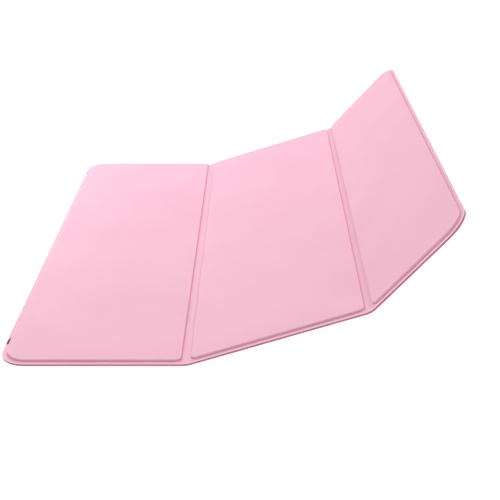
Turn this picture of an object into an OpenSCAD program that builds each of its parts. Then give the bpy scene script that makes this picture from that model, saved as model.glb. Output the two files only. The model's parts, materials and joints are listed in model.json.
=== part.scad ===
// Folding cover for a flat tablet: three stiff panels in one soft skin, joined by thin
// fold webs, and a magnetic strip that holds the cover's left edge to the tablet's side.
//
// Frame: origin at the middle of the strip's magnetic face. +X runs across the tablet from
// the strip to the free edge, +Y along the strip, +Z out of the screen. The cover is drawn
// with panel 1 flat on the screen and the other two panels folded partly up.

/* [Cover] */
// Length of the cover along the strip
cover_len = 238; // [200:1:290]
// Width of panel 1, from the strip's magnetic face to fold 1
panel_1_w = 62.3; // [50:0.1:90]
// Width of panel 2, from fold 1 to fold 2
panel_2_w = 64.7; // [50:0.1:90]
// Width of panel 3, from fold 2 to the free edge
panel_3_w = 44.6; // [35:0.1:90]
// How far panel 1 overhangs the strip's magnetic face beyond the strip's ends
side_overhang = 1.4; // [0.3:0.1:1.4]
// Corner radius of the cover's outline
cover_corner_r = 9; // [5:0.5:15]

/* [Folds] */
// How far panel 2 is folded up from panel 1, in degrees
fold_1_bend = 17.4; // [5:0.1:90]
// How far panel 3 is folded up from panel 2, in degrees
fold_2_bend = 29.8; // [5:0.1:90]
// Width of the groove between two raised pads, laid flat
groove_w = 3.7; // [3.6:0.1:6]
// Height of the fold's axis above the underside of the lining
fold_axis_h = 0.6; // [0.6:0.05:0.9]

/* [Layers] */
// Thickness of the soft lining that lies on the screen
lining_t = 0.7; // [0.4:0.1:0.8]
// Thickness of the stiff boards inside the panels
board_t = 0.9; // [0.9:0.1:1.5]
// Thickness of the outer skin
skin_t = 0.5; // [0.4:0.1:0.7]

/* [Pads] */
// Distance from the strip's magnetic face to the raised pad of panel 1
pad_1_x0 = 0.5; // [0.5:0.1:3]
// Width of the flat margin, skin bonded to lining, outside each raised pad
margin_w = 1.3; // [1:0.1:4]
// Corner radius of a pad at the cover's outer corners
pad_corner_r = 7.7; // [4:0.1:10]
// Corner radius of a pad beside a fold
pad_fold_r = 2.2; // [1.5:0.1:4]

/* [Strip] */
// Length of the strip that the skin wraps
strip_len = 196; // [160:1:220]
// Height of the strip against the tablet's side
strip_h = 4.5; // [3.5:0.1:5]
// Thickness of the strip, lining and skin included
strip_t = 2.5; // [2.4:0.1:3.5]
// Length of the bare bar end past each end of the wrapped strip
bar_end = 5.5; // [2:0.5:8]
// Height of the bare bar end above the middle of the strip
bar_end_top = 3; // [2.25:0.05:3.1]
// Inner radius of the lining where it turns from the strip to panel 1
turn_r = 1.2; // [1:0.1:2]

/* [Magnets] */
// Magnets in each of the strip's two groups
strip_magnets = 4; // [2:1:5]
// Length of one strip magnet
strip_magnet_len = 14; // [8:1:15]
// Height of one strip magnet
strip_magnet_h = 3.2; // [2:0.1:3.2]
// Distance from one strip magnet to the next
strip_magnet_pitch = 17; // [16:0.5:18]
// Magnets along the free edge
edge_magnets_count = 6; // [2:2:8]
// Length of one free-edge magnet
edge_magnet_len = 16; // [8:1:20]
// Width of one free-edge magnet and of the steel strip it clings to
edge_magnet_w = 5; // [3:0.5:6]
// Distance from one free-edge magnet to the next
edge_magnet_pitch = 30; // [25:1:32]
// Side of the small square magnet that puts the tablet to sleep
sleep_magnet_w = 6; // [4:0.5:8]

/* [Hidden] */
$fn = 96;

// Heights above the underside of a panel's lining
skin_z = lining_t;
margin_top_z = lining_t + skin_t;

// The turn from the strip to panel 1: the skin and the lining each bend a quarter circle
turn_z = strip_h / 2;
screen_z = turn_z + turn_r;
skin_turn_r = screen_z + margin_top_z - turn_z;
skin_turn_x = skin_turn_r - strip_t;
bar_t = strip_t - lining_t - skin_t;
bar_x = -lining_t - bar_t;
strip_gap = 0.4;

// How far the lining's left edge stays inside the skin's, towards the cover's corners
lining_step = 0.25;

// How far panel 1's notches reach past the inner face of the bare bar ends
bar_end_gap = 0.05;

// Corner radii of a bare bar end, on the side away from the tablet and the side against it
bar_end_outer_r = 0.8;
bar_end_inner_r = 0.3;

// Panel outlines, each along its own panel from the fold or strip that it starts at
half_groove = groove_w / 2;
pad_len = cover_len - 2 * margin_w;
pad_3_x1 = panel_3_w - margin_w;

// Places of the magnets and the steel strip inside the boards
strip_group_y = strip_len / 4;
magnet_t = 0.9;
keeper_t = 0.5;
keeper_x = 4;
keeper_len = 176;
edge_magnet_x = pad_3_x1 - skin_t - edge_magnet_w - 1.5;
sleep_magnet_x = edge_magnet_x - sleep_magnet_w - 4;
sleep_magnet_y = 0.36 * cover_len;

// How far a cutting shape passes the face it cuts
cut = 0.5;

// ---- Frames: each panel is drawn flat with z = 0 at the underside of its lining ----

module in_panel_1() {
    translate([0, 0, screen_z]) children();
}

module after_fold(x, bend) {
    translate([x, 0, fold_axis_h]) rotate([0, -bend, 0]) translate([0, 0, -fold_axis_h]) children();
}

module in_panel_2() {
    in_panel_1() after_fold(panel_1_w, fold_1_bend) children();
}

module in_panel_3() {
    in_panel_2() after_fold(panel_2_w, fold_2_bend) children();
}

// ---- Shared shapes ----

// Block from x0 to x1, centred on y
module block(x0, x1, len, h) {
    translate([x0, -len / 2, 0]) cube([x1 - x0, len, h]);
}

// Outline from x0 to x1, centred on y, with corner radius r0 at x0 and r1 at x1
module outline(x0, x1, len, r0, r1) {
    y = len / 2;
    polygon([
        [x0 + r0, -y], [x1 - r1, -y], [x1, r1 - y], [x1, y - r1],
        [x1 - r1, y], [x0 + r0, y], [x0, y - r0], [x0, r0 - y]
    ]);
    for (side = [-1, 1]) {
        if (r0 > 0) translate([x0 + r0, side * (y - r0)]) circle(r0);
        if (r1 > 0) translate([x1 - r1, side * (y - r1)]) circle(r1);
    }
}

module plate(x0, x1, len, r0, r1, h) {
    linear_extrude(h) outline(x0, x1, len, r0, r1);
}

// Skin of one panel: a thin margin, and over the board a raised pad that is hollow below
module skin_shell(x0, x1, pad_x0, pad_x1, r0, r1, pad_r0, pad_r1) {
    difference() {
        translate([0, 0, skin_z]) union() {
            plate(x0, x1, cover_len, r0, r1, skin_t);
            plate(pad_x0, pad_x1, pad_len, pad_r0, pad_r1, board_t + skin_t);
        }
        translate([0, 0, skin_z - cut]) board_outline(pad_x0, pad_x1, pad_r0, pad_r1, board_t + cut);
    }
}

// The board's outline: the pad less the thickness of the skin that wraps its sides
module board_outline(pad_x0, pad_x1, pad_r0, pad_r1, h) {
    plate(pad_x0 + skin_t, pad_x1 - skin_t, pad_len - 2 * skin_t,
        pad_r0 - skin_t, pad_r1 - skin_t, h);
}

// Curved strip along y: part of a ring between radii r0 and r1, from angle a0 to a1,
// where 0 points along +X and 90 along +Z
module ring_part(r0, r1, len, a0, a1) {
    rotate([90, 0, 0]) rotate([0, 0, a0]) rotate_extrude(angle = a1 - a0, $fn = 360)
        translate([r0, -len / 2]) square([r1 - r0, len]);
}

// One layer of a fold web between heights z0 and z1: an arc tangent to both panels
module fold_layer(bend, z0, z1) {
    centre_z = fold_axis_h + half_groove / tan(bend / 2);
    translate([-half_groove, 0, centre_z])
        ring_part(centre_z - z1, centre_z - z0, cover_len, 270, 270 + bend);
}

// Quarter turn of one layer round (x, turn_z), from the strip's side up to panel 1
module quarter_turn(x, inner_r, t) {
    translate([x, 0, turn_z]) ring_part(inner_r, inner_r + t, strip_len, 90, 180);
}

module magnet_group(y) {
    for (i = [0 : strip_magnets - 1])
        translate([-lining_t - magnet_t / 2, y + (i - (strip_magnets - 1) / 2) * strip_magnet_pitch, 0])
            cube([magnet_t, strip_magnet_len, strip_magnet_h], center = true);
}

module edge_magnet_row() {
    for (i = [0 : edge_magnets_count - 1])
        translate([edge_magnet_x, (i - (edge_magnets_count - 1) / 2) * edge_magnet_pitch
                - edge_magnet_len / 2, lining_t])
            cube([edge_magnet_w, edge_magnet_len, magnet_t]);
}

module sleep_magnet_block() {
    translate([sleep_magnet_x, sleep_magnet_y - sleep_magnet_w / 2, lining_t])
        cube([sleep_magnet_w, sleep_magnet_w, magnet_t]);
}

module keeper_block() {
    translate([0, 0, lining_t]) block(keeper_x, keeper_x + edge_magnet_w, keeper_len, keeper_t);
}

// ---- Strip ----

module spine_bar() {
    color("#5a2c3e") {
        difference() {
            translate([0, 0, -strip_h / 2]) block(bar_x, -lining_t, strip_len, strip_h);
            magnet_group(-strip_group_y);
            magnet_group(strip_group_y);
        }
        for (y = [-strip_len / 2, strip_len / 2 + bar_end]) translate([0, y, 0]) bare_bar_end();
    }
}

// End of the bar that stands out of the wrap, as thick as the wrapped strip
module bare_bar_end() {
    low_z = -strip_h / 2;
    translate([0, 0, (bar_end_top + low_z) / 2]) rotate([90, 0, 0]) linear_extrude(bar_end)
        outline(-strip_t, -lining_t, bar_end_top - low_z,
            bar_end_outer_r, bar_end_inner_r);
}

module spine_magnets_near() {
    color("silver") magnet_group(-strip_group_y);
}

module spine_magnets_far() {
    color("silver") magnet_group(strip_group_y);
}

module spine_skin() {
    color("#f4c2d2") translate([0, 0, -strip_h / 2]) block(-strip_t, bar_x, strip_len, strip_h);
}

module spine_lining() {
    color("#d87a9c") translate([0, 0, -strip_h / 2]) block(-lining_t, 0, strip_len, strip_h);
}

module hinge_web_skin() {
    color("#f4c2d2") quarter_turn(skin_turn_x, skin_turn_r - skin_t, skin_t);
}

module hinge_web_lining() {
    color("#d87a9c") quarter_turn(turn_r, turn_r, lining_t);
}

// ---- Panel 1 ----

module panel_1_skin() {
    color("#f4c2d2") in_panel_1() difference() {
        skin_shell(-side_overhang, panel_1_w - half_groove, pad_1_x0, panel_1_w - half_groove,
            cover_corner_r, 0, pad_corner_r, pad_fold_r);
        block(-side_overhang - cut, skin_turn_x, strip_len + 2 * strip_gap, margin_top_z + cut);
        bar_end_notch(margin_top_z + cut);
    }
}

// Notch in panel 1's edge that lets it swing past the bare bar ends
module bar_end_notch(h) {
    block(-side_overhang - cut, bar_end_gap - lining_t, strip_len + 2 * (bar_end + strip_gap), h);
}

module panel_1_board() {
    color("white") in_panel_1() difference() {
        translate([0, 0, lining_t])
            board_outline(pad_1_x0, panel_1_w - half_groove, pad_corner_r, pad_fold_r, board_t);
        keeper_block();
    }
}

module panel_1_lining() {
    color("#d87a9c") in_panel_1() difference() {
        plate(-side_overhang + lining_step, panel_1_w - half_groove, cover_len,
            cover_corner_r, 0, lining_t);
        translate([0, 0, -cut]) {
            block(-side_overhang - cut, turn_r, strip_len + 2 * strip_gap, lining_t + 2 * cut);
            bar_end_notch(lining_t + 2 * cut);
        }
    }
}

module stand_keeper() {
    color("silver") in_panel_1() keeper_block();
}

module fold_1_web_skin() {
    color("#f4c2d2") in_panel_1() translate([panel_1_w, 0, 0])
        fold_layer(fold_1_bend, skin_z, margin_top_z);
}

module fold_1_web_lining() {
    color("#d87a9c") in_panel_1() translate([panel_1_w, 0, 0])
        fold_layer(fold_1_bend, 0, lining_t);
}

// ---- Panel 2 ----

module panel_2_skin() {
    color("#f4c2d2") in_panel_2()
        skin_shell(half_groove, panel_2_w - half_groove, half_groove, panel_2_w - half_groove,
            0, 0, pad_fold_r, pad_fold_r);
}

module panel_2_board() {
    color("white") in_panel_2() translate([0, 0, lining_t])
        board_outline(half_groove, panel_2_w - half_groove, pad_fold_r, pad_fold_r, board_t);
}

module panel_2_lining() {
    color("#d87a9c") in_panel_2()
        plate(half_groove, panel_2_w - half_groove, cover_len, 0, 0, lining_t);
}

module fold_2_web_skin() {
    color("#f4c2d2") in_panel_2() translate([panel_2_w, 0, 0])
        fold_layer(fold_2_bend, skin_z, margin_top_z);
}

module fold_2_web_lining() {
    color("#d87a9c") in_panel_2() translate([panel_2_w, 0, 0])
        fold_layer(fold_2_bend, 0, lining_t);
}

// ---- Panel 3 ----

module panel_3_skin() {
    color("#f4c2d2") in_panel_3()
        skin_shell(half_groove, panel_3_w, half_groove, pad_3_x1,
            0, cover_corner_r, pad_fold_r, pad_corner_r);
}

module panel_3_board() {
    color("white") in_panel_3() difference() {
        translate([0, 0, lining_t])
            board_outline(half_groove, pad_3_x1, pad_fold_r, pad_corner_r, board_t);
        edge_magnet_row();
        sleep_magnet_block();
    }
}

module panel_3_lining() {
    color("#d87a9c") in_panel_3()
        plate(half_groove, panel_3_w, cover_len, 0, cover_corner_r, lining_t);
}

module edge_magnets() {
    color("silver") in_panel_3() edge_magnet_row();
}

module sleep_magnet() {
    color("silver") in_panel_3() sleep_magnet_block();
}

spine_bar();
spine_magnets_near();
spine_magnets_far();
spine_skin();
spine_lining();
hinge_web_skin();
hinge_web_lining();
panel_1_skin();
panel_1_board();
panel_1_lining();
stand_keeper();
fold_1_web_skin();
fold_1_web_lining();
panel_2_skin();
panel_2_board();
panel_2_lining();
fold_2_web_skin();
fold_2_web_lining();
panel_3_skin();
panel_3_board();
panel_3_lining();
edge_magnets();
sleep_magnet();
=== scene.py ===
import json
import math

import bmesh
import bpy
import numpy as np
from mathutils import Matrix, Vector


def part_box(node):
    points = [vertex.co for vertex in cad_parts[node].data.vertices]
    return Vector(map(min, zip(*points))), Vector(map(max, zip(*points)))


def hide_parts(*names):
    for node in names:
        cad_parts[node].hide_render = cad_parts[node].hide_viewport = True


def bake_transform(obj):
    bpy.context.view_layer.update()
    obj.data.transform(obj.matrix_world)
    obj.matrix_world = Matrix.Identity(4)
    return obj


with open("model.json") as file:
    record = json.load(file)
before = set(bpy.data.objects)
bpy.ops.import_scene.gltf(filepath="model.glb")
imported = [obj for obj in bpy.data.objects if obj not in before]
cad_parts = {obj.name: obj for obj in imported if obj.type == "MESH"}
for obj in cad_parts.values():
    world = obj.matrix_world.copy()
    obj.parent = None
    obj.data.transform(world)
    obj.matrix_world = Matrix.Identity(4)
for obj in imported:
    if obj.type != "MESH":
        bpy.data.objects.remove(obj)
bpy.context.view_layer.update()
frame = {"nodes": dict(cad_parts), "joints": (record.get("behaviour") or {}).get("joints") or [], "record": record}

# All lengths below are millimetres. The cover is drawn as a flat sheet with coordinates
# u (across, from the strip to the free edge), y (along the strip) and h (height above the
# lining's underside), and is then bent into the frame's rest pose.
MM = 0.001

# ---------------------------------------------------------------- places, from the frame


def box_mm(node):
    """Lowest and highest corner of a CAD node."""
    low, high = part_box(node)
    return [v / MM for v in low], [v / MM for v in high]


def joint_mm(name):
    """Place (x, z) of a hinge axis."""
    joint = next(j for j in frame["joints"] if j["name"] == name)
    return np.array([joint["pos_m"][0] / MM, joint["pos_m"][2] / MM])


strip_low, strip_high = box_mm("spine_skin")
lining_low, lining_high = box_mm("panel_1_lining")
skin_low, skin_high = box_mm("panel_1_skin")
fold_1_axis = joint_mm("fold_1")
fold_2_axis = joint_mm("fold_2")
latch = next(m for m in frame["record"]["mounts"] if m["name"] == "latch_face")

COVER_HALF = skin_high[1]
STRIP_HALF = strip_high[1]
SCREEN_Z = lining_low[2]
TURN_Z = strip_high[2]
STRIP_H = strip_high[2] - strip_low[2]
SIDE_U = skin_low[0]
FOLD_1_U = fold_1_axis[0]
FOLD_2_U = FOLD_1_U + float(np.hypot(*(fold_2_axis - fold_1_axis)))
AXIS_H = fold_1_axis[1] - SCREEN_Z
HALF_GROOVE = FOLD_1_U - skin_high[0]
BEND_1 = math.atan2(*(fold_2_axis - fold_1_axis)[::-1])
BEND_2 = math.atan2(latch["axis"][0], -latch["axis"][2]) - BEND_1
LINING_T = lining_high[2] - lining_low[2]
TOTAL_H = skin_high[2] - lining_low[2]
edge_x = box_mm("panel_3_lining")[1][0]
TILT_3 = BEND_1 + BEND_2
PANEL_3_W = (edge_x - fold_2_axis[0] - AXIS_H * math.sin(TILT_3)) / math.cos(TILT_3)
FREE_U = FOLD_2_U + PANEL_3_W

# Outlines, as in the CAD
MARGIN = 1.3
COVER_R = 9.0
PAD_R = 7.7
PAD_FOLD_R = 2.2
PAD_1_U = 0.5        # where panel 1's pad starts
SKIN_T = 0.5
MARGIN_H = LINING_T + SKIN_T
BOARD_TOP_H = TOTAL_H - SKIN_T
SLIT_Y = STRIP_HALF + 0.3   # end of the cut beside the strip's wrap

# ---------------------------------------------------------------- flat pattern of the sheet

CORNER = 16          # segments round each corner
SIDE_SEGMENTS = 12   # segments along half of the strip
ACROSS = 12          # segments across the middle of a panel
ROUNDING = 6         # points round each small radius
SIDE_END_Y = 104.0   # end of the notch beside each bare bar end
EDGE_R = 0.18        # rounding of the skin's edge
BAND = 0.95          # width of the loops that follow the cover's edge
LINE_IN = 0.45       # distance of the pressed line from the edge
LINE_W = 0.14        # half of the pressed line's width
NOTCH = 0.5          # loops nearer the edge than this are cut away beside the bare bar ends
SPREAD_IN = 5.0      # inset of the square-cornered loop inside a pad
SPREAD_REACH = 6.0   # how far that loop's corner points are spread out


def side_ys(end_y):
    """Places of the points along a side that ends at y = -end_y and end_y."""
    inner = list(np.linspace(0, SLIT_Y, SIDE_SEGMENTS + 1)) + [SIDE_END_Y, (SIDE_END_Y + end_y) / 2, end_y]
    return [-y for y in reversed(inner[1:])] + inner


def corner_points(u, y, cu, cy, is_round):
    """Corner of a loop at (u, y), counter-clockwise: an arc round (cu, cy), or a square corner."""
    centre, tip = np.array([cu, cy]), np.array([u, y])
    on_side, on_end = np.array([u, cy]), np.array([cu, y])
    first, last = (on_end, on_side) if (cu - u) * (cy - y) < 0 else (on_side, on_end)
    if is_round:
        turn = np.linspace(0, math.pi / 2, CORNER + 1)[:, None]
        return centre + (first - centre) * np.cos(turn) + (last - centre) * np.sin(turn)
    half = np.linspace(0, 1, CORNER // 2 + 1)[:, None]
    return np.vstack([first + (tip - first) * half[:-1], tip + (last - tip) * half])


def outline(u0, u1, half, left, right):
    """Closed loop of points. left and right are (centre u, centre y, is_round) of the corners."""
    (cu0, cy0, round0), (cu1, cy1, round1) = left, right
    front = [(u, -half) for u in np.linspace(cu0, cu1, ACROSS + 1)]
    parts = [
        front,
        corner_points(u1, -half, cu1, -cy1, round1),
        [(u1, y) for y in side_ys(cy1)],
        corner_points(u1, half, cu1, cy1, round1),
        [(u, half) for u, _ in front[::-1]],
        corner_points(u0, half, cu0, cy0, round0),
        [(u0, y) for y in side_ys(cy0)[::-1]],
        corner_points(u0, -half, cu0, -cy0, round0),
    ]
    return np.vstack([np.array(p)[:-1] for p in parts])


def loop_starts():
    """Index in a loop at which each of its eight parts starts."""
    sides = len(side_ys(SIDE_END_Y + 2)) - 1
    counts = [ACROSS, CORNER, sides, CORNER, ACROSS, CORNER, sides, CORNER]
    return np.concatenate([[0], np.cumsum(counts)])


STARTS = loop_starts()
LOOP = STARTS[-1]


def rounded_inset(u, y, u0, u1, half, r0, r1):
    """How far a point lies inside a rectangle with rounded corners, negative outside it."""
    r = np.where(u < (u0 + u1) / 2, r0, r1)
    du = np.maximum(u0 + r - u, u - (u1 - r))
    dy = np.abs(y) - (half - r)
    outside = np.hypot(np.maximum(du, 0), np.maximum(dy, 0))
    return r - outside - np.minimum(np.maximum(du, dy), 0)


def cover_inset(u, y):
    """How far a point lies inside the cover's outer edge."""
    return rounded_inset(u, y, SIDE_U, FREE_U, COVER_HALF, COVER_R, COVER_R)


class Panel:
    """One panel: its cell of the sheet, its raised pad, and which of its sides are folds."""

    def __init__(self, u0, u1, fold_left, fold_right, pad_1_u, root_u):
        self.u0, self.u1 = u0, u1
        self.fold_left, self.fold_right = fold_left, fold_right
        self.root_u = root_u
        self.pad_u0 = u0 + HALF_GROOVE if fold_left else pad_1_u
        self.pad_u1 = u1 - (HALF_GROOVE if fold_right else MARGIN)
        self.pad_half = COVER_HALF - MARGIN
        self.pad_r0 = PAD_FOLD_R if fold_left else PAD_R
        self.pad_r1 = PAD_FOLD_R if fold_right else PAD_R

    def pad_outline(self, inset):
        """Outline of the pad, moved inwards by inset."""
        left = (self.pad_u0 + self.pad_r0, self.pad_half - self.pad_r0, True)
        right = (self.pad_u1 - self.pad_r1, self.pad_half - self.pad_r1, True)
        return outline(self.pad_u0 + inset, self.pad_u1 - inset, self.pad_half - inset, left, right)

    def inner_outline(self, inset, reach):
        """Square-cornered outline well inside the pad, whose corner points are spread out."""
        u0, u1, half = self.pad_u0 + inset, self.pad_u1 - inset, self.pad_half - inset
        return outline(u0, u1, half, (u0 + reach, half - reach, False), (u1 - reach, half - reach, False))

    def cell_outline(self, inset):
        """The panel's share of the sheet: the cover's edge moved inwards by inset, and the folds.

        Beside the strip the loops spread out, so that the last one runs along the wrap's root.
        """
        spread = (self.root_u - SIDE_U) / BAND
        fold_y = self.pad_half - PAD_FOLD_R
        if self.fold_left:
            u0, left = self.u0, (self.pad_u0 + PAD_FOLD_R, fold_y, False)
        else:
            u0, left = self.u0 + inset * spread, (self.u0 + COVER_R, COVER_HALF - COVER_R, True)
        if self.fold_right:
            u1, right = self.u1, (self.pad_u1 - PAD_FOLD_R, fold_y, False)
        else:
            u1, right = self.u1 - inset, (self.u1 - COVER_R, COVER_HALF - COVER_R, True)
        return outline(u0, u1, COVER_HALF - inset, left, right)

    def pad_inset(self, u, y):
        """How far a point lies inside the pad's edge, negative outside it."""
        return rounded_inset(u, y, self.pad_u0, self.pad_u1, self.pad_half, self.pad_r0, self.pad_r1)

    def is_edge(self, i):
        """Whether segment i of a cell loop lies along the cover's edge and not along a fold."""
        half = CORNER // 2
        on_right = STARTS[1] + half <= i < STARTS[3] + half
        on_left = STARTS[5] + half <= i < STARTS[7] + half
        return not (self.fold_right and on_right or self.fold_left and on_left)

    def beside_strip(self, i, end_y):
        """Whether segment i of a cell loop lies on panel 1's left side, within end_y of its middle."""
        first, last = (STARTS[6] + side_ys(SIDE_END_Y + 2)[::-1].index(y) for y in (end_y, -end_y))
        return not self.fold_left and first <= i < last

    def on_right_half(self, i):
        """Whether segment i of a loop is on the half of the panel away from the strip."""
        return STARTS[0] + ACROSS // 2 <= i < STARTS[4] + ACROSS // 2


def make_panels(pad_1_u, root_u):
    """The three panels of a layer whose wrap starts at root_u."""
    return [
        Panel(SIDE_U, FOLD_1_U, False, True, pad_1_u, root_u),
        Panel(FOLD_1_U, FOLD_2_U, True, True, pad_1_u, root_u),
        Panel(FOLD_2_U, FREE_U, True, False, pad_1_u, root_u),
    ]


def pad_wall():
    """Insets and rises of the pad's side: a fillet at its foot, a steep wall and a rounded top."""
    foot_r, top_r, steep = 0.14, 0.3, math.radians(80)
    foot_out = 0.19   # how far the foot starts outside the pad's outline
    turn = np.linspace(0, steep, ROUNDING)
    foot = np.column_stack([foot_r * np.sin(turn), foot_r * (1 - np.cos(turn))])
    top = np.column_stack([-top_r * np.sin(turn[::-1]), -top_r * (1 - np.cos(turn[::-1]))])
    pad_h = TOTAL_H - MARGIN_H
    wall_rise = pad_h - foot[-1, 1] + top[0, 1]
    run = foot[-1, 0] + wall_rise / math.tan(steep) - top[0, 0]
    line = np.vstack([foot, top + (run, pad_h)])
    return line[:, 0] - foot_out, line[:, 1]


WALL_IN, WALL_RISE = pad_wall()
# Insets of the foot and of the rounded top of the pad's wall: there the skin material paints shade along the foot
# and a highlight along the top.
CREASE_IN, CREST_IN = WALL_IN[3], WALL_IN[-3]
BOARD_IN = SKIN_T
PAD_INSETS = list(WALL_IN) + [BOARD_IN - 0.02, BOARD_IN, 0.8, 1.3]


class Pattern:
    """Points (u, y) and quads of a flat sheet. Points at one place are one point."""

    def __init__(self):
        self.index, self.points, self.quads, self.sections = {}, [], [], []

    def point(self, p):
        key = (round(float(p[0]), 4), round(float(p[1]), 4))
        if key not in self.index:
            self.index[key] = len(self.points)
            self.points.append(key)
        return self.index[key]

    def quad(self, corners, section):
        ids = [self.point(p) for p in corners]
        ids = [k for n, k in enumerate(ids) if k != ids[n - 1]]
        if len(ids) > 2:
            self.quads.append(ids)
            self.sections.append(section)

    def band(self, outer, inner, section, keep=lambda i: True):
        """Quads between two loops. section and keep are functions of the segment's index."""
        for i in range(LOOP):
            if keep(i):
                j = (i + 1) % LOOP
                self.quad([outer[i], outer[j], inner[j], inner[i]], section(i))

    def grid(self, rows, section):
        """Quads of a grid of points. section is a function of the column."""
        for a, b in zip(rows[:-1], rows[1:]):
            for c in range(len(a) - 1):
                self.quad([a[c], a[c + 1], b[c + 1], b[c]], section(c))


def inner_grid(loop):
    """Rows of points that fill a closed loop, between the middles of its four corners."""
    half = CORNER // 2
    corner = [STARTS[k] + half for k in (7, 1, 3, 5)]
    ring = np.vstack([loop, loop])
    front = ring[corner[0]:corner[1] + LOOP + 1]
    right = ring[corner[1]:corner[2] + 1]
    far = ring[corner[2]:corner[3] + 1][::-1]
    left = ring[corner[3]:corner[0] + 1][::-1]
    s = ((front[:, 0] - front[0, 0]) / (front[-1, 0] - front[0, 0]))[None, :, None]
    t = ((left[:, 1] - left[0, 1]) / (left[-1, 1] - left[0, 1]))[:, None, None]
    corners = (1 - s) * (1 - t) * front[0] + s * (1 - t) * front[-1] + (1 - s) * t * far[0] + s * t * far[-1]
    return (1 - t) * front + t * far + (1 - s) * left[:, None] + s * right[:, None] - corners


def edge_rounding():
    """Insets of the points round the sheet's edge."""
    return EDGE_R * (1 - np.cos(np.linspace(0, math.pi / 2, ROUNDING)))


def edge_insets(edge_inset):
    """Insets of the loops along the edge: close together round the edge and the pressed line."""
    line = LINE_IN + LINE_W * np.linspace(-1, 1, 7)
    return [edge_inset + d for d in [*edge_rounding(), *line] if edge_inset + d < BAND - 0.1] + [BAND]


def cover_pattern(panels, edge_inset, with_pads=True):
    """The whole cover but the strip's wrap, with its edge moved inwards by edge_inset."""
    pattern = Pattern()
    for n, panel in enumerate(panels):
        def section(i, n=n, panel=panel):
            return 2 if n == 2 or (n == 1 and panel.on_right_half(i)) else 1

        insets = edge_insets(edge_inset)
        loops = [panel.cell_outline(d) for d in insets]
        for inset, outer, inner in zip(insets, loops[:-1], loops[1:]):
            cut_y = SIDE_END_Y if inset < NOTCH else SLIT_Y
            pattern.band(outer, inner, section,
                         lambda i: panel.is_edge(i) and not panel.beside_strip(i, cut_y))
        cell, base = loops[-1], panel.pad_outline(PAD_INSETS[0])
        loops = [cell + (base - cell) * t for t in np.linspace(0, 1, 9)]
        loops += [panel.pad_outline(e) for e in PAD_INSETS[1:] if with_pads or e < BOARD_IN]
        if with_pads:
            inner = panel.inner_outline(SPREAD_IN, SPREAD_REACH)
            loops += [loops[-1] + (inner - loops[-1]) * t for t in (0.2, 0.5, 1.0)]
        for outer, inner in zip(loops[:-1], loops[1:]):
            pattern.band(outer, inner, section)
        if with_pads:
            middle = (ACROSS + CORNER) // 2
            right, left = section(STARTS[2]), section(STARTS[6])
            pattern.grid(inner_grid(loops[-1]), lambda c: right if c >= middle else left)
    return pattern


def wrap_pattern(root_u, turn_u, arc_len):
    """The tongue of the sheet that turns down from panel 1 and covers the strip."""
    end_u = turn_u - arc_len - STRIP_H
    rounding = list(edge_rounding())
    us = [root_u, (root_u + turn_u) / 2]
    us += list(np.linspace(turn_u, turn_u - arc_len, 19))
    us += list(np.linspace(turn_u - arc_len, end_u + 0.5, 6)[1:])
    us += [end_u + d for d in rounding[::-1]]
    ys = list(np.linspace(0, STRIP_HALF - 2, 15)) + [STRIP_HALF - d for d in [0.6] + rounding[::-1]]
    ys = [-y for y in reversed(ys[1:])] + ys
    pattern = Pattern()
    pattern.grid([[(u, y) for u in us[::-1]] for y in ys], lambda c: 0)
    return pattern


# ---------------------------------------------------------------- bending the flat sheet


def bend_up(x, z, u, fold_u, angle):
    """Bends the points past a fold upwards, with an arc as wide as the groove."""
    start = fold_u - HALF_GROOVE
    axis_z = SCREEN_Z + AXIS_H
    reach = HALF_GROOVE / math.tan(angle / 2)
    radius = reach - (z - axis_z)
    turned = angle * (u - start) / (2 * HALF_GROOVE)
    arc_x = start + radius * np.sin(turned)
    arc_z = axis_z + reach - radius * np.cos(turned)
    far_x = fold_u + (x - fold_u) * math.cos(angle) - (z - axis_z) * math.sin(angle)
    far_z = axis_z + (x - fold_u) * math.sin(angle) + (z - axis_z) * math.cos(angle)
    past, on_arc = u > fold_u + HALF_GROOVE, u > start
    return (np.where(past, far_x, np.where(on_arc, arc_x, x)),
            np.where(past, far_z, np.where(on_arc, arc_z, z)))


def bend_down(x, z, u, turn_u, arc_len):
    """Turns the points before turn_u a quarter circle down, and then straight down."""
    radius = z - TURN_Z
    turned = np.clip((turn_u - u) / arc_len, 0, 1) * math.pi / 2
    below = np.maximum(turn_u - arc_len - u, 0)
    before = u < turn_u
    return (np.where(before, turn_u - radius * np.sin(turned), x),
            np.where(before, TURN_Z + radius * np.cos(turned) - below, z))


def in_rest_pose(u, y, h, turn=None):
    """Places of sheet points in the frame, in metres."""
    x, z = u.copy(), SCREEN_Z + h
    if turn:
        x, z = bend_down(x, z, u, *turn)
    x, z = bend_up(x, z, u, FOLD_2_U, BEND_2)
    x, z = bend_up(x, z, u, FOLD_1_U, BEND_1)
    return np.column_stack([x, y, z]) * MM


# ---------------------------------------------------------------- heights of the layers


def rounded(inset, radius):
    """0 away from an edge, rising along a quarter circle to 1 at the edge."""
    t = np.clip(1 - inset / radius, 0, 1)
    return 1 - np.sqrt(1 - t * t)


def step(x):
    """Smooth step from 0 to 1 as x goes from 0 to 1."""
    t = np.clip(x, 0, 1)
    return t * t * (3 - 2 * t)


def bell(x, width):
    """1 where x is 0, falling smoothly to both sides."""
    return np.exp(-(x / width) ** 2)


BOND_LOW_H = 0.52
BOND_HIGH_H = 0.74
CROWN_H = 0.08       # rise of a pad from its rim to its middle
LINE_DEPTH = 0.05
HEM_R = 0.06         # rounding where the bonded layers meet at the edge
LINING_R = 0.1       # rounding of the lining's lower edge


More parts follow.
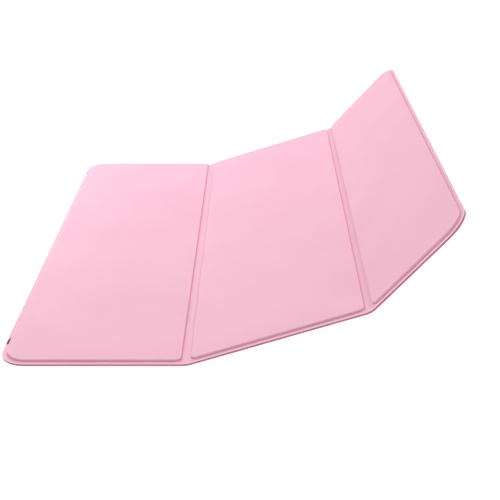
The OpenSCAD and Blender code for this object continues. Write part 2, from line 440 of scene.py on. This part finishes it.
def skin_heights(e, edge):
    """Top and underside of the skin at insets e from the pad and edge from the cover's edge."""
    crown = CROWN_H * step((e - 0.6) / 9)
    line = LINE_DEPTH * bell(edge - LINE_IN, 0.06)
    top = MARGIN_H + np.interp(e, WALL_IN, WALL_RISE) + crown - line - EDGE_R * rounded(edge, EDGE_R)
    low = np.where(e > BOARD_IN - 0.01, BOARD_TOP_H, BOND_HIGH_H) + HEM_R * rounded(edge, HEM_R)
    return top, low


def lining_heights(e, edge):
    """Top and underside of the lining, pressed thinner outside the boards."""
    top = np.where(e > BOARD_IN - 0.01, LINING_T, BOND_LOW_H) - HEM_R * rounded(edge, HEM_R)
    low = LINING_R * rounded(edge, LINING_R)
    return top, low


def bond_heights(e, edge):
    """Top and underside of the glue film between skin and lining, whose dark colour also paints the shade of the
    gap there.
    """
    return np.full_like(e, BOND_HIGH_H), np.full_like(e, BOND_LOW_H)


def wrap_skin_heights(e, edge):
    """Top and underside of the skin over the strip."""
    rim = 0.5 * SKIN_T * rounded(edge, EDGE_R)
    return MARGIN_H - rim, LINING_T + rim


def wrap_lining_heights(e, edge):
    """Top and underside of the lining over the strip."""
    rim = 0.5 * LINING_T * rounded(edge, EDGE_R)
    return LINING_T - rim, rim


# ---------------------------------------------------------------- closed meshes


def add_attribute(mesh, name, kind, values):
    attribute = mesh.attributes.new(name, kind, "POINT")
    field = "vector" if kind == "FLOAT_VECTOR" else "value"
    attribute.data.foreach_set(field, np.ravel(values).astype(np.float32))


def sheet_solid(name, pattern, section, heights, pad_inset, edge_inset, turn=None):
    """Closed solid of one section of a pattern: top, underside, and a wall round its boundary."""
    quads = [q for q, s in zip(pattern.quads, pattern.sections) if s == section]
    used = sorted({k for q in quads for k in q})
    new = {k: n for n, k in enumerate(used)}
    flat = np.array([pattern.points[k] for k in used])
    u, y = flat[:, 0], flat[:, 1]
    pad, edge = pad_inset(u, y), edge_inset(u, y)
    top, low = heights(pad, edge)
    count = len(used)
    quads = [[new[k] for k in q] for q in quads]
    directed = {(a, b) for q in quads for a, b in zip(q, q[1:] + q[:1])}
    walls = [[b, a, a + count, b + count] for a, b in sorted(directed) if (b, a) not in directed]
    faces = quads + [[k + count for k in reversed(q)] for q in quads] + walls
    points = np.vstack([in_rest_pose(u, y, top, turn), in_rest_pose(u, y, low, turn)])
    mesh = bpy.data.meshes.new(name)
    mesh.from_pydata(points.tolist(), [], faces)
    sheet = np.column_stack([np.tile(u, 2), np.tile(y, 2), np.concatenate([top, low])])
    add_attribute(mesh, "sheet", "FLOAT_VECTOR", sheet * MM)
    marks = {
        "pressed": 1 - step((pad + 0.1) / 0.7),
        # Where the skin material paints a highlight along the skin's rounded edge, and makes it smoother.
        "rim": 1 - step((edge - 0.05) / 0.25),
        # Where the skin material paints a highlight along each pad's rounded top edge.
        "crest_highlight": bell(pad - CREST_IN, 0.16),
        # Where the skin material paints shade along the foot of each pad's wall.
        "crease_shade": bell(pad - CREASE_IN, 0.12),
    }
    for mark, values in marks.items():
        add_attribute(mesh, mark, "FLOAT", np.tile(values, 2))
    piece = bpy.data.objects.new(name, mesh)
    bpy.context.scene.collection.objects.link(piece)
    clean(piece)
    return piece


SHARP_ANGLE = math.radians(50)
WELD_M = 2e-7


def clean(piece):
    """Welds points, drops faces with no area, and sets smooth faces with sharp edges."""
    bm = bmesh.new()
    bm.from_mesh(piece.data)
    bmesh.ops.remove_doubles(bm, verts=bm.verts, dist=WELD_M)
    bmesh.ops.dissolve_degenerate(bm, edges=bm.edges, dist=1e-8)
    bmesh.ops.recalc_face_normals(bm, faces=bm.faces)
    for face in bm.faces:
        face.smooth = True
    for edge in bm.edges:
        edge.smooth = len(edge.link_faces) == 2 and edge.calc_face_angle(0) < SHARP_ANGLE
    bm.to_mesh(piece.data)
    bm.free()


# ---------------------------------------------------------------- materials


class Nodes:
    """Short way to build a material's nodes."""

    def __init__(self, name):
        self.material = bpy.data.materials.new(name)
        self.material.use_nodes = True
        self.tree = self.material.node_tree
        self.shader = self.tree.nodes["Principled BSDF"]

    def add(self, kind, **inputs):
        node = self.tree.nodes.new(kind)
        for key, value in inputs.items():
            self.put(node, key, value)
        return node

    def put(self, node, key, value):
        name = key.replace("_", " ")
        socket = node.inputs[int(key[1:])] if key[0] == "i" and key[1:].isdigit() else node.inputs[name]
        if isinstance(value, bpy.types.NodeSocket):
            self.tree.links.new(value, socket)
        else:
            socket.default_value = value

    def math(self, operation, a, b=0.0):
        node = self.add("ShaderNodeMath", i0=a, i1=b)
        node.operation = operation
        return node.outputs[0]

    def mix(self, factor, a, b, blend="MIX"):
        node = self.add("ShaderNodeMix")
        node.data_type, node.blend_type = "RGBA", blend
        for index, value in ((0, factor), (6, a), (7, b)):
            if isinstance(value, bpy.types.NodeSocket):
                self.tree.links.new(value, node.inputs[index])
            else:
                node.inputs[index].default_value = value
        return node.outputs[2]

    def ramp(self, value, low, high):
        node = self.add("ShaderNodeMapRange", Value=value)
        node.inputs["From Min"].default_value = low
        node.inputs["From Max"].default_value = high
        return node.outputs[0]

    def attribute(self, name):
        node = self.add("ShaderNodeAttribute")
        node.attribute_name = name
        return node

    def noise(self, vector, scale, detail=3.0, roughness=0.5):
        node = self.add("ShaderNodeTexNoise", Vector=vector, Scale=scale, Detail=detail, Roughness=roughness)
        return node.outputs[0]

    def stretched(self, vector, scale):
        return self.add("ShaderNodeMapping", Vector=vector, Scale=scale).outputs[0]

    def bump(self, height, strength, distance, normal=None):
        node = self.add("ShaderNodeBump", Height=height, Strength=strength, Distance=distance)
        if normal:
            self.put(node, "Normal", normal)
        return node.outputs[0]


def rgb(red, green, blue):
    """Linear colour, with alpha, from sRGB values of 0 to 255."""
    def linear(v):
        v /= 255
        return v / 12.92 if v <= 0.04045 else ((v + 0.055) / 1.055) ** 2.4
    return (linear(red), linear(green), linear(blue), 1.0)


def skin_material():
    """Pale pink faux leather: fine specks and pores, soft sheen, smoother where it is pressed, with painted shade
    along the feet of the pads' walls and painted highlights along the pads' top edges and the skin's edge.
    """
    n = Nodes("pink_faux_leather")
    place = n.attribute("sheet").outputs["Vector"]
    pressed = n.attribute("pressed").outputs["Fac"]
    # The cells' places are scaled and shifted by a noise, which breaks them up into fine specks.
    scatter = n.add("ShaderNodeTexNoise", Vector=place, Scale=900.0).outputs["Color"]
    warp = n.add("ShaderNodeVectorMath", i0=place, i1=scatter)
    warp.operation = "MULTIPLY_ADD"
    n.tree.links.new(n.stretched(scatter, (0.0004, 0.0004, 0.0004)), warp.inputs[2])
    cells = n.add("ShaderNodeTexVoronoi", Vector=warp.outputs[0], Scale=1500.0)
    cells.feature = "DISTANCE_TO_EDGE"
    pebbles = n.ramp(cells.outputs["Distance"], 0.0, 0.35)
    pores = n.noise(place, 5200.0, 2.0)
    clouds = n.noise(place, 26.0, 4.0, 0.55)
    fine = n.noise(place, 420.0, 3.0)
    base = n.mix(n.ramp(clouds, 0.35, 0.65), rgb(246, 187, 208), rgb(248, 192, 212))
    base = n.mix(n.math("MULTIPLY", n.math("SUBTRACT", 1.0, pebbles), 0.10), base, rgb(226, 146, 174))
    base = n.mix(n.math("MULTIPLY", n.ramp(fine, 0.5, 0.8), 0.10), base, rgb(250, 210, 224))
    base = n.mix(n.math("MULTIPLY", pressed, 0.08), base, rgb(238, 172, 196))
    crest_highlight, rim = n.attribute("crest_highlight").outputs["Fac"], n.attribute("rim").outputs["Fac"]
    crease_shade = n.attribute("crease_shade").outputs["Fac"]
    # Painted shade: the foot of each pad's wall is darkened, as shade would fall where the wall meets the margin.
    base = n.mix(n.math("MULTIPLY", crease_shade, 0.7), base, rgb(198, 120, 148))
    # Painted highlight: each pad's rounded top edge is lightened.
    base = n.mix(n.math("MULTIPLY", crest_highlight, 0.5), base, rgb(255, 200, 217))
    # Painted highlight: the skin's rounded edge is lightened; the roughness below also makes it smoother there.
    base = n.mix(n.math("MULTIPLY", rim, 0.6), base, rgb(255, 222, 234))
    n.put(n.shader, "Base_Color", base)
    rough = n.math("ADD", 0.50, n.math("MULTIPLY", fine, 0.16))
    rough = n.math("SUBTRACT", rough, n.math("MULTIPLY", pressed, 0.06))
    rough = n.math("SUBTRACT", rough, n.math("MULTIPLY", rim, 0.22))
    rough = n.math("SUBTRACT", rough, n.math("MULTIPLY", crest_highlight, 0.15))
    n.put(n.shader, "Roughness", rough)
    grain = n.math("ADD", pebbles, n.math("MULTIPLY", pores, 0.35))
    grain = n.math("MULTIPLY", grain, n.math("SUBTRACT", 1.0, n.math("MULTIPLY", pressed, 0.45)))
    waves = n.bump(n.noise(place, 34.0, 2.0), 0.12, 0.00025)
    n.put(n.shader, "Normal", n.bump(grain, 0.35, 0.00004, waves))
    n.shader.inputs["Specular IOR Level"].default_value = 0.42
    n.shader.inputs["Sheen Weight"].default_value = 0.06
    n.shader.inputs["Sheen Roughness"].default_value = 0.4
    n.shader.inputs["Sheen Tint"].default_value = rgb(255, 225, 235)
    return n.material


def lining_material():
    """Rose microfibre: short nap brushed in patches, matt, with a soft sheen."""
    n = Nodes("rose_microfibre")
    place = n.attribute("sheet").outputs["Vector"]
    fibres = n.noise(n.stretched(place, (1.0, 3.5, 1.0)), 2600.0, 4.0, 0.7)
    tufts = n.noise(place, 700.0, 3.0, 0.6)
    strokes = n.noise(n.stretched(place, (1.0, 0.25, 1.0)), 60.0, 3.0, 0.5)
    base = n.mix(n.ramp(strokes, 0.38, 0.62), rgb(206, 112, 142), rgb(219, 130, 158))
    base = n.mix(n.math("MULTIPLY", n.ramp(fibres, 0.35, 0.7), 0.35), base, rgb(232, 152, 176))
    base = n.mix(n.math("MULTIPLY", n.ramp(tufts, 0.5, 0.75), 0.25), base, rgb(186, 92, 122))
    n.put(n.shader, "Base_Color", base)
    n.put(n.shader, "Roughness", n.math("ADD", 0.86, n.math("MULTIPLY", tufts, 0.12)))
    height = n.math("ADD", fibres, n.math("MULTIPLY", tufts, 0.8))
    n.put(n.shader, "Normal", n.bump(height, 0.6, 0.00008))
    n.shader.inputs["Specular IOR Level"].default_value = 0.2
    n.shader.inputs["Sheen Weight"].default_value = 0.35
    n.shader.inputs["Sheen Roughness"].default_value = 0.5
    n.shader.inputs["Sheen Tint"].default_value = rgb(255, 205, 220)
    return n.material


def bond_and_gap_shade_material():
    """Dark maroon glue film that shows as a thin line along the edge; the dark colour is also painted shade,
    standing in for the gap between skin and lining.
    """
    n = Nodes("maroon_bond_and_gap_shade")
    place = n.attribute("sheet").outputs["Vector"]
    beads = n.noise(place, 900.0, 3.0)
    # Painted shade: this dark colour stands in for the shade in the gap between skin and lining as well as for the
    # glue.
    n.put(n.shader, "Base_Color", n.mix(beads, rgb(98, 26, 50), rgb(128, 46, 72)))
    n.put(n.shader, "Roughness", n.math("ADD", 0.45, n.math("MULTIPLY", beads, 0.2)))
    n.put(n.shader, "Normal", n.bump(beads, 0.5, 0.00005))
    return n.material


def hard_material(name, colour, other, roughness, metallic, scale, stretch=(1, 1, 1)):
    """Plastic or metal with fine mottling, stretched into a brushed grain where asked."""
    n = Nodes(name)
    place = n.add("ShaderNodeTexCoord").outputs["Object"]
    grain = n.noise(n.stretched(place, stretch), scale, 4.0, 0.6)
    patches = n.noise(place, 60.0, 3.0)
    mixed = n.mix(n.math("MULTIPLY", n.math("ADD", grain, patches), 0.5), colour, other)
    n.put(n.shader, "Base_Color", mixed)
    n.put(n.shader, "Roughness", n.math("ADD", roughness, n.math("MULTIPLY", grain, 0.15)))
    n.put(n.shader, "Normal", n.bump(grain, 0.4, 0.00001))
    n.shader.inputs["Metallic"].default_value = metallic
    return n.material


# ---------------------------------------------------------------- pieces


def set_material(piece, material):
    piece.data.materials.clear()
    piece.data.materials.append(material)


def layer(name, heights, panels, edge_inset, material, with_pads=True):
    """One layer of the cover as two pieces that meet in the middle of panel 2."""
    pattern = cover_pattern(panels, edge_inset, with_pads)

    def inside_pad(u, y):
        return np.max([p.pad_inset(u, y) for p in panels], axis=0)

    def inside_edge(u, y):
        return cover_inset(u, y) - edge_inset

    pieces = [sheet_solid(f"{name}_panels_{n}_{n + 1}", pattern, n, heights, inside_pad, inside_edge)
              for n in (1, 2)]
    for piece in pieces:
        set_material(piece, material)
    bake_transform(pieces[0])
    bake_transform(pieces[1])
    return pieces


def wrap(name, heights, root_u, turn_u, outer_r, material, high_z):
    """The layer's tongue over the strip, which bends from the strip's side over its top to panel 1. high_z is not
    used.
    """
    arc_len = outer_r * math.pi / 2
    end_u = turn_u - arc_len - STRIP_H

    def inside_edge(u, y):
        return np.minimum(STRIP_HALF - np.abs(y), u - end_u)

    def no_pad(u, y):
        return np.full_like(u, -1.0)

    pattern = wrap_pattern(root_u, turn_u, arc_len)
    piece = sheet_solid(name, pattern, 0, heights, no_pad, inside_edge, (turn_u, arc_len))
    set_material(piece, material)
    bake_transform(piece)
    return piece


def build_cover():
    skin, lining, bond = skin_material(), lining_material(), bond_and_gap_shade_material()
    bond_inset, lining_inset = 0.1, 0.04
    skin_r = SCREEN_Z + MARGIN_H - TURN_Z
    skin_root_u, skin_turn_u = 0.1, skin_r + strip_low[0]
    panels = make_panels(PAD_1_U, skin_root_u)
    first, second = layer("skin", skin_heights, panels, 0.0, skin)
    sleeve = wrap("skin_strip_wrap", wrap_skin_heights, skin_root_u, skin_turn_u, skin_r, skin,
                  SCREEN_Z + LINING_T)
    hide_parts("spine_skin", "hinge_web_skin")
    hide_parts("panel_1_skin", "fold_1_web_skin", "panel_2_skin")
    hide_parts("fold_2_web_skin", "panel_3_skin")
    layer("bond", bond_heights, panels, bond_inset, bond, with_pads=False)

    lining_r = SCREEN_Z - TURN_Z + LINING_T
    lining_turn_u = lining_r - LINING_T
    lining_root_u = lining_turn_u + 0.1
    panels = make_panels(lining_root_u + 0.8, lining_root_u)
    first, second = layer("lining", lining_heights, panels, lining_inset, lining)
    tongue = wrap("lining_strip_wrap", wrap_lining_heights, lining_root_u, lining_turn_u, lining_r,
                  lining, SCREEN_Z)
    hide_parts("spine_lining", "hinge_web_lining")
    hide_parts("panel_1_lining", "fold_1_web_lining", "panel_2_lining")
    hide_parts("fold_2_web_lining", "panel_3_lining")


def dress_cad_nodes():
    """Materials for the CAD nodes that stay: the bar and what the panels hold inside."""
    looks = {
        "spine_bar": hard_material("maroon_plastic", rgb(70, 18, 38), rgb(84, 26, 48), 0.5, 0, 1800.0),
        "board": hard_material("fibre_sheet", rgb(226, 224, 214), rgb(208, 204, 190), 0.55, 0, 700.0,
                               (1, 6, 1)),
        "magnet": hard_material("nickel_plate", rgb(196, 197, 200), rgb(176, 178, 184), 0.18, 1, 900.0),
        "keeper": hard_material("plain_steel", rgb(170, 172, 176), rgb(146, 148, 152), 0.3, 1, 500.0,
                                (20, 1, 20)),
    }
    for name, node in frame["nodes"].items():
        for word, material in looks.items():
            if word in name:
                set_material(node, material)


# ---------------------------------------------------------------- floor, light and camera

# Below the lowest place that a panel reaches when it is folded under.
FLOOR_Z = -90.0


def build_stage():
    bpy.ops.mesh.primitive_plane_add(size=12, location=(0, 2, FLOOR_Z * MM))
    floor = bpy.context.object
    floor.name = "floor"
    n = Nodes("white_floor")
    place = n.add("ShaderNodeTexCoord").outputs["Object"]
    n.put(n.shader, "Base_Color", n.mix(n.noise(place, 3.0), rgb(246, 246, 247), rgb(250, 250, 251)))
    n.shader.inputs["Roughness"].default_value = 0.6
    n.shader.inputs["Specular IOR Level"].default_value = 0.2
    n.shader.inputs["Emission Color"].default_value = (1, 1, 1, 1)
    n.shader.inputs["Emission Strength"].default_value = 0.52
    set_material(floor, n.material)


def area_light(name, place, size, watts):
    """Square white lamp at a place in metres, turned towards the cover."""
    data = bpy.data.lights.new(name, "AREA")
    data.shape, data.size, data.energy = "SQUARE", size, watts
    light = bpy.data.objects.new(name, data)
    light.location = place
    light.visible_camera = False
    direction = Vector((0.08, 0.0, 0.02)) - Vector(place)
    light.rotation_euler = direction.to_track_quat("-Z", "Y").to_euler()
    bpy.context.scene.collection.objects.link(light)


def build_sky():
    """White sky that is brightest overhead, with a bright band at the horizon and below it."""
    world = bpy.data.worlds.new("studio")
    world.use_nodes = True
    background = world.node_tree.nodes["Background"]
    background.inputs["Color"].default_value = (1, 1, 1, 1)
    nodes, links = world.node_tree.nodes, world.node_tree.links
    direction = nodes.new("ShaderNodeSeparateXYZ")
    links.new(nodes.new("ShaderNodeTexCoord").outputs["Generated"], direction.inputs[0])
    layers = []
    for slope, at_horizon in ((0.66, 0.24), (-12.0, 1.0)):
        line = nodes.new("ShaderNodeMath")
        line.operation = "MULTIPLY_ADD"
        line.inputs[1].default_value, line.inputs[2].default_value = slope, at_horizon
        links.new(direction.outputs["Z"], line.inputs[0])
        layers.append(line.outputs[0])
    brightest = nodes.new("ShaderNodeMath")
    brightest.operation = "MAXIMUM"
    for output, socket in zip(layers, brightest.inputs):
        links.new(output, socket)
    links.new(brightest.outputs[0], background.inputs["Strength"])
    bpy.context.scene.world = world


def build_lights():
    build_sky()
    area_light("key", (0.35, 0.36, 0.62), 0.4, 1.65)
    area_light("far_corner", (-0.09, 0.24, 0.15), 0.15, 0.24)
    area_light("side", (-0.34, -0.20, 0.26), 0.3, 0.12)
    area_light("back_left", (-0.38, 1.05, 0.17), 0.5, 0.28)
    area_light("glint", (0.05, -0.25, 0.9), 0.08, 0.25)
    bpy.context.scene.view_settings.view_transform = "Standard"


def build_camera():
    """Camera with a long lens, square to the strip and looking 20 degrees down."""
    pitch_deg = 20.44
    data = bpy.data.cameras.new("camera")
    data.lens = 85.49
    data.sensor_width = 36
    data.shift_x = -0.0168
    data.clip_start = 0.01
    camera = bpy.data.objects.new("camera", data)
    camera.location = (86.6 * MM, -480.15 * MM, 179.95 * MM)
    camera.rotation_euler = (math.radians(90 - pitch_deg), 0, 0)
    bpy.context.scene.collection.objects.link(camera)
    bpy.context.scene.camera = camera


build_camera()
build_stage()
build_lights()
build_cover()
dress_cad_nodes()
